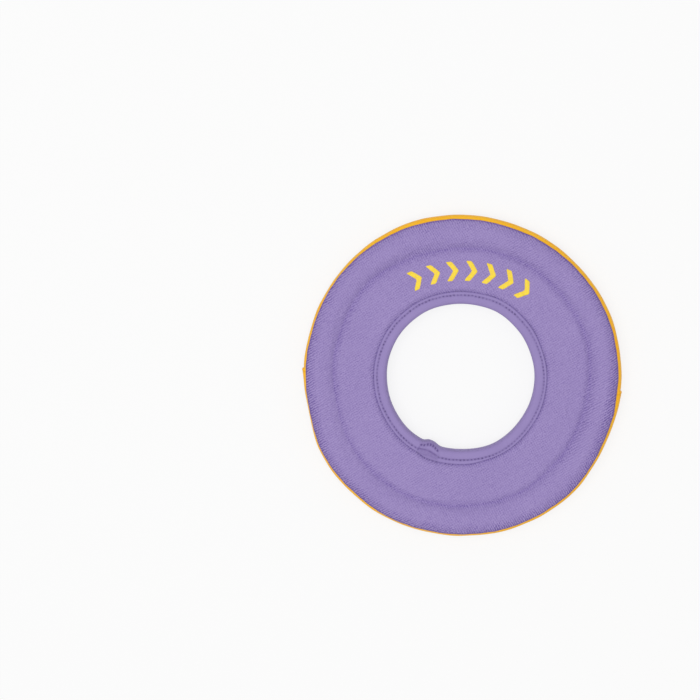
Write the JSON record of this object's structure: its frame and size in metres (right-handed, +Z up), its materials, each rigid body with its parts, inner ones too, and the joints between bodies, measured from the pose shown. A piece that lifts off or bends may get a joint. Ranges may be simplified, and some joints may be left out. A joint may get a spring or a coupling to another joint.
{
  "type": "flying ring",
  "caption": "Soft padded flying ring: foam in knit fabric covers, with a raised rim, a rounded contrast edge band and a tape-bound centre hole, for throwing and catching.",
  "frame": {"origin": "centre of the ring, on the plane that its underside rests on", "axes": "+Z up, along the axis of the hole and out of the printed face; +Y towards the middle of the printed marks; +X to the right as seen from above"},
  "size_m": [0.23, 0.23, 0.0195],
  "materials": {
    "cover_fabric": "fine matt knit, lilac",
    "foam": "closed-cell foam",
    "edge_band": "smooth matt, orange-yellow",
    "binding_tape": "fine woven tape, lilac",
    "cover_thread": "sewing thread, dark lilac",
    "band_thread": "sewing thread, orange",
    "print_ink": "printed film, yellow"
  },
  "bodies": {
    "root": {"top_cover": "cover_fabric", "bottom_cover": "cover_fabric", "foam_web": "foam", "foam_rim": "foam", "edge_band_back": "edge_band", "edge_band_front": "edge_band", "hole_binding": "binding_tape", "binding_stitch_top": "cover_thread", "binding_stitch_bottom": "cover_thread", "binding_join_stitch": "cover_thread", "top_edge_seam_thread": "cover_thread", "bottom_edge_seam_thread": "cover_thread", "band_joint_thread": "band_thread", "print_marks": "print_ink"}
  },
  "joints": []
}
